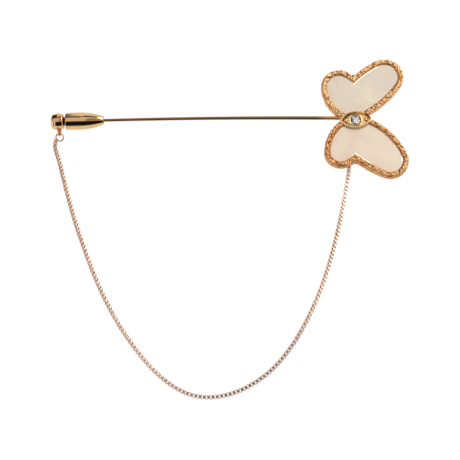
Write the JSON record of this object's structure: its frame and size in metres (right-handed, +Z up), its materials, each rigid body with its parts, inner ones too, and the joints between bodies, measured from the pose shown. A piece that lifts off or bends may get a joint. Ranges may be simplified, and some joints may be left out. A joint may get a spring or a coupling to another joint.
{
  "type": "jabot pin",
  "caption": "Butterfly jabot pin lying face up: shell wings in gold frames with a stone, on a pin stem with a spring clutch and a safety chain.",
  "frame": {"origin": "on the surface the pin lies on, at the middle of the flat foot under the setting between the wings", "axes": "+X from the clutch to the butterfly, +Z up through the front of the butterfly, +Y towards the upper wing"},
  "size_m": [0.0764, 0.0744, 0.0038],
  "materials": {
    "gold_mount": "bark-textured yellow gold bands, polished setting and stem",
    "upper_shell": "polished mother-of-pearl",
    "lower_shell": "polished mother-of-pearl",
    "stone": "faceted and polished",
    "gold_sleeve": "mirror-polished yellow gold",
    "gold_plunger": "mirror-polished yellow gold",
    "gold_ring": "polished wire",
    "gold_chain": "polished links"
  },
  "bodies": {
    "pin": {"pin_mount": "gold_mount", "upper_wing_shell": "upper_shell", "lower_wing_shell": "lower_shell", "diamond": "stone", "clutch_plunger": "gold_plunger", "jump_ring": "gold_ring", "safety_chain": "gold_chain"},
    "sleeve": {"clutch_sleeve": "gold_sleeve"}
  },
  "joints": [
    {"name": "clutch_release", "type": "slide", "parent": "pin", "child": "sleeve", "axis": [0.9996, 0.0297, 0], "range_m": [0, 0.001], "stiffness_N_per_m": 100, "springref_m": -0.001}
  ]
}
